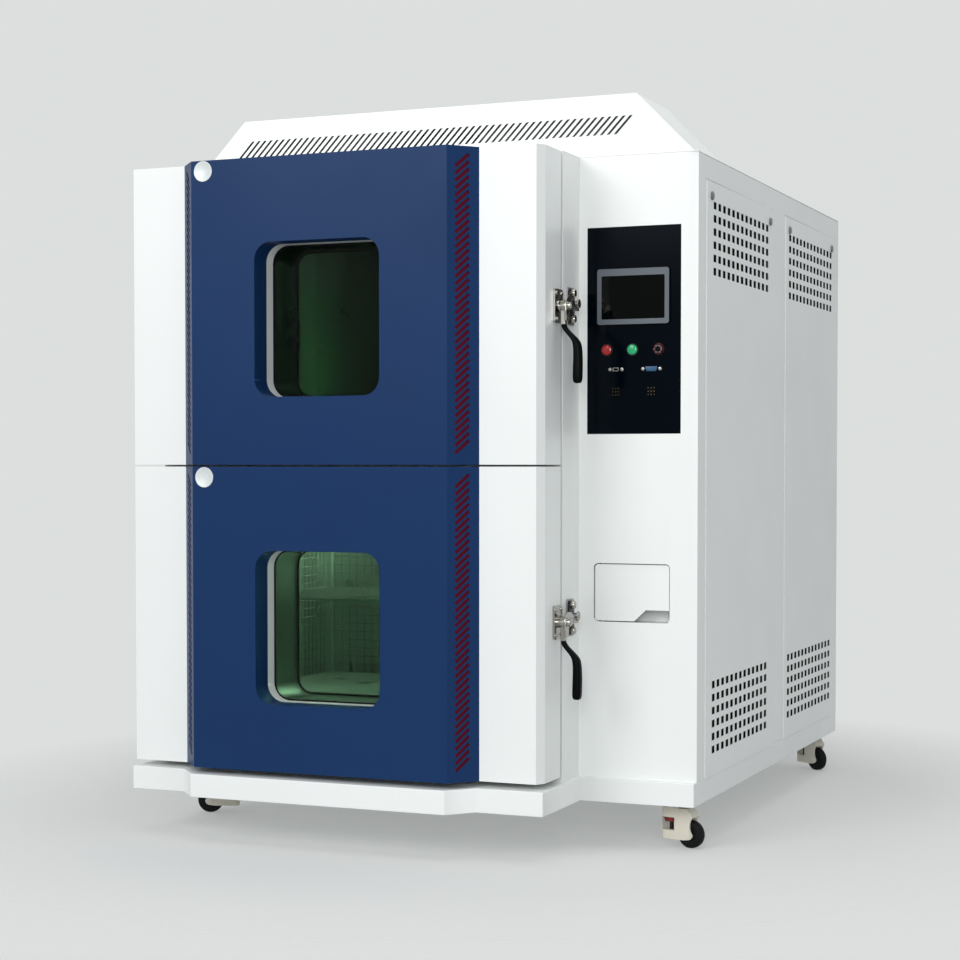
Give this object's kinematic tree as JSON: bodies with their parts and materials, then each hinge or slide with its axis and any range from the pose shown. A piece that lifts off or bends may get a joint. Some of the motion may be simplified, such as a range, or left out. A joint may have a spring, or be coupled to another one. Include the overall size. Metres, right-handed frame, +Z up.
{
  "type": "environmental test chamber",
  "caption": "Two-zone thermal shock test chamber with stacked insulated doors, windows, a control column, a lifting basket, roof hood and levelling casters.",
  "frame": {"origin": "on the floor, at the centre of the whole object's outline", "axes": "+Z up, the doors face -Y, +X to the right of someone facing the doors"},
  "size_m": [1.5943, 2.072, 2.048],
  "materials": {
    "white_coat": "fine powder coat",
    "blue_coat": "satin powder coat",
    "black_coat": "gloss enamel",
    "grey_coat": "satin powder coat",
    "caster_paint": "satin enamel",
    "plated_steel": "zinc plated",
    "stainless": "brushed",
    "chrome": "bright plate",
    "aluminium": "cast, plain",
    "foam": "cut foam",
    "rubber": "moulded silicone",
    "glass": "polished, dark green tint",
    "black_plastic": "moulded",
    "red_plastic": "moulded",
    "green_plastic": "moulded",
    "caster_nylon": "moulded black nylon"
  },
  "bodies": {
    "cabinet": {"base_plinth": "white_coat", "cabinet_cladding": "white_coat", "chamber_insulation": "foam", "chamber_liner": "stainless", "air_treatment": "stainless", "roof_hood": "white_coat", "front_column": "white_coat", "control_panel": "black_coat", "panel_instruments": "black_plastic", "right_side_frame": "white_coat", "right_front_panel": "white_coat", "right_rear_panel": "white_coat", "cabinet_hardware": "plated_steel", "lift_guides": "stainless", "drive_motors": "black_coat", "refrigeration_unit": "black_coat", "electrical_box": "grey_coat"},
    "access_flap": {"access_flap": "white_coat"},
    "stop_button": {"stop_button": "red_plastic"},
    "start_button": {"start_button": "green_plastic"},
    "basket": {"basket": "stainless", "lift_rope": "plated_steel"},
    "lift_drum": {"lift_drum": "plated_steel"},
    "cold_fan": {"cold_fan": "aluminium"},
    "hot_fan": {"hot_fan": "aluminium"},
    "condenser_fan": {"condenser_fan": "aluminium"},
    "upper_door": {"upper_door_fascia": "blue_coat", "upper_door_pan": "white_coat", "upper_door_insulation": "foam", "upper_door_liner": "stainless", "upper_window_panes": "glass", "upper_door_gasket": "rubber", "upper_door_hardware": "chrome"},
    "upper_latch": {"upper_latch_lever": "chrome", "upper_latch_grip": "black_plastic"},
    "lower_door": {"lower_door_fascia": "blue_coat", "lower_door_pan": "white_coat", "lower_door_insulation": "foam", "lower_door_liner": "stainless", "lower_window_panes": "glass", "lower_door_gasket": "rubber", "lower_door_hardware": "chrome"},
    "lower_latch": {"lower_latch_lever": "chrome", "lower_latch_grip": "black_plastic"},
    "panel_lock_1": {"panel_lock_1": "chrome"},
    "panel_lock_2": {"panel_lock_2": "chrome"},
    "panel_lock_3": {"panel_lock_3": "chrome"},
    "panel_lock_4": {"panel_lock_4": "chrome"},
    "caster_front_left": {"caster_yoke_front_left": "caster_paint"},
    "wheel_front_left": {"caster_wheel_front_left": "caster_nylon"},
    "foot_front_left": {"caster_foot_front_left": "red_plastic"},
    "caster_front_right": {"caster_yoke_front_right": "caster_paint"},
    "wheel_front_right": {"caster_wheel_front_right": "caster_nylon"},
    "foot_front_right": {"caster_foot_front_right": "red_plastic"},
    "caster_rear_left": {"caster_yoke_rear_left": "caster_paint"},
    "wheel_rear_left": {"caster_wheel_rear_left": "caster_nylon"},
    "foot_rear_left": {"caster_foot_rear_left": "red_plastic"},
    "caster_rear_right": {"caster_yoke_rear_right": "caster_paint"},
    "wheel_rear_right": {"caster_wheel_rear_right": "caster_nylon"},
    "foot_rear_right": {"caster_foot_rear_right": "red_plastic"}
  },
  "joints": [
    {"name": "upper_door_hinge", "type": "hinge", "parent": "cabinet", "child": "upper_door", "pos_m": [-0.78915, -0.7945, 1.462], "axis": [0, 0, -1], "range_deg": [0, 110]},
    {"name": "upper_latch_turn", "type": "hinge", "parent": "upper_door", "child": "upper_latch", "pos_m": [0.46815, -0.835, 1.465], "axis": [-1, 0, 0], "range_deg": [0, 80]},
    {"name": "lower_door_hinge", "type": "hinge", "parent": "cabinet", "child": "lower_door", "pos_m": [-0.78915, -0.7945, 0.623], "axis": [0, 0, -1], "range_deg": [0, 110]},
    {"name": "lower_latch_turn", "type": "hinge", "parent": "lower_door", "child": "lower_latch", "pos_m": [0.46815, -0.835, 0.626], "axis": [-1, 0, 0], "range_deg": [0, 80]},
    {"name": "access_flap_hinge", "type": "hinge", "parent": "cabinet", "child": "access_flap", "pos_m": [0.52015, -0.647, 0.697], "axis": [0, 0, -1], "range_deg": [0, 90]},
    {"name": "stop_button_press", "type": "slide", "parent": "cabinet", "child": "stop_button", "axis": [0, 1, 0], "range_m": [0, 0.004], "stiffness_N_per_m": 800},
    {"name": "start_button_press", "type": "slide", "parent": "cabinet", "child": "start_button", "axis": [0, 1, 0], "range_m": [0, 0.004], "stiffness_N_per_m": 800},
    {"name": "panel_lock_1_turn", "type": "hinge", "parent": "cabinet", "child": "panel_lock_1", "pos_m": [0.78915, -0.535, 1.7755], "axis": [-1, 0, 0], "range_deg": [0, 90]},
    {"name": "panel_lock_2_turn", "type": "hinge", "parent": "cabinet", "child": "panel_lock_2", "pos_m": [0.78915, 0.094, 1.7755], "axis": [1, 0, 0], "range_deg": [0, 90]},
    {"name": "panel_lock_3_turn", "type": "hinge", "parent": "cabinet", "child": "panel_lock_3", "pos_m": [0.78915, 0.335, 1.7755], "axis": [-1, 0, 0], "range_deg": [0, 90]},
    {"name": "panel_lock_4_turn", "type": "hinge", "parent": "cabinet", "child": "panel_lock_4", "pos_m": [0.78915, 0.918, 1.7755], "axis": [1, 0, 0], "range_deg": [0, 90]},
    {"name": "basket_lift", "type": "slide", "parent": "cabinet", "child": "basket", "axis": [0, 0, 1], "range_m": [0, 0.68], "deforming": ["lift_rope"]},
    {"name": "lift_drum_turn", "type": "hinge", "parent": "cabinet", "child": "lift_drum", "pos_m": [-0.16335, -0.4913, 1.944], "axis": [1, 0, 0], "range_deg": [0, 905]},
    {"name": "cold_fan_spin", "type": "hinge", "parent": "cabinet", "child": "cold_fan", "pos_m": [-0.16335, -0.0565, 0.64], "axis": [0, 1, 0], "continuous": true},
    {"name": "hot_fan_spin", "type": "hinge", "parent": "cabinet", "child": "hot_fan", "pos_m": [-0.16335, -0.0565, 1.44], "axis": [0, 1, 0], "continuous": true},
    {"name": "condenser_fan_spin", "type": "hinge", "parent": "cabinet", "child": "condenser_fan", "pos_m": [0.59415, 0.6265, 0.42], "axis": [1, 0, 0], "continuous": true},
    {"name": "caster_swivel_front_left", "type": "hinge", "parent": "cabinet", "child": "caster_front_left", "pos_m": [-0.69885, -0.573, 0.119], "axis": [0, 0, 1], "continuous": true},
    {"name": "caster_roll_front_left", "type": "hinge", "parent": "caster_front_left", "child": "wheel_front_left", "pos_m": [-0.74584, -0.5901, 0.038], "axis": [-0.342, 0.9397, 0], "continuous": true},
    {"name": "foot_screw_front_left", "type": "slide", "parent": "caster_front_left", "child": "foot_front_left", "axis": [0, 0, -1], "range_m": [0, 0.022]},
    {"name": "caster_swivel_front_right", "type": "hinge", "parent": "cabinet", "child": "caster_front_right", "pos_m": [0.70715, -0.573, 0.119], "axis": [0, 0, 1], "continuous": true},
    {"name": "caster_roll_front_right", "type": "hinge", "parent": "caster_front_right", "child": "wheel_front_right", "pos_m": [0.75545, -0.58594, 0.038], "axis": [-0.2588, -0.9659, 0], "continuous": true},
    {"name": "foot_screw_front_right", "type": "slide", "parent": "caster_front_right", "child": "foot_front_right", "axis": [0, 0, -1], "range_m": [0, 0.022]},
    {"name": "caster_swivel_rear_left", "type": "hinge", "parent": "cabinet", "child": "caster_rear_left", "pos_m": [-0.69885, 0.965, 0.119], "axis": [0, 0, 1], "continuous": true},
    {"name": "caster_roll_rear_left", "type": "hinge", "parent": "caster_rear_left", "child": "wheel_rear_left", "pos_m": [-0.74715, 0.97794, 0.038], "axis": [0.2588, 0.9659, 0], "continuous": true},
    {"name": "foot_screw_rear_left", "type": "slide", "parent": "caster_rear_left", "child": "foot_rear_left", "axis": [0, 0, -1], "range_m": [0, 0.022]},
    {"name": "caster_swivel_rear_right", "type": "hinge", "parent": "cabinet", "child": "caster_rear_right", "pos_m": [0.70715, 0.965, 0.119], "axis": [0, 0, 1], "continuous": true},
    {"name": "caster_roll_rear_right", "type": "hinge", "parent": "caster_rear_right", "child": "wheel_rear_right", "pos_m": [0.74811, 0.93632, 0.038], "axis": [-0.5736, -0.8192, 0], "continuous": true},
    {"name": "foot_screw_rear_right", "type": "slide", "parent": "caster_rear_right", "child": "foot_rear_right", "axis": [0, 0, -1], "range_m": [0, 0.022]}
  ],
  "couplings": [
    {"joint": "lift_drum_turn", "follows": "basket_lift", "rad_per_m": 23.095}
  ]
}
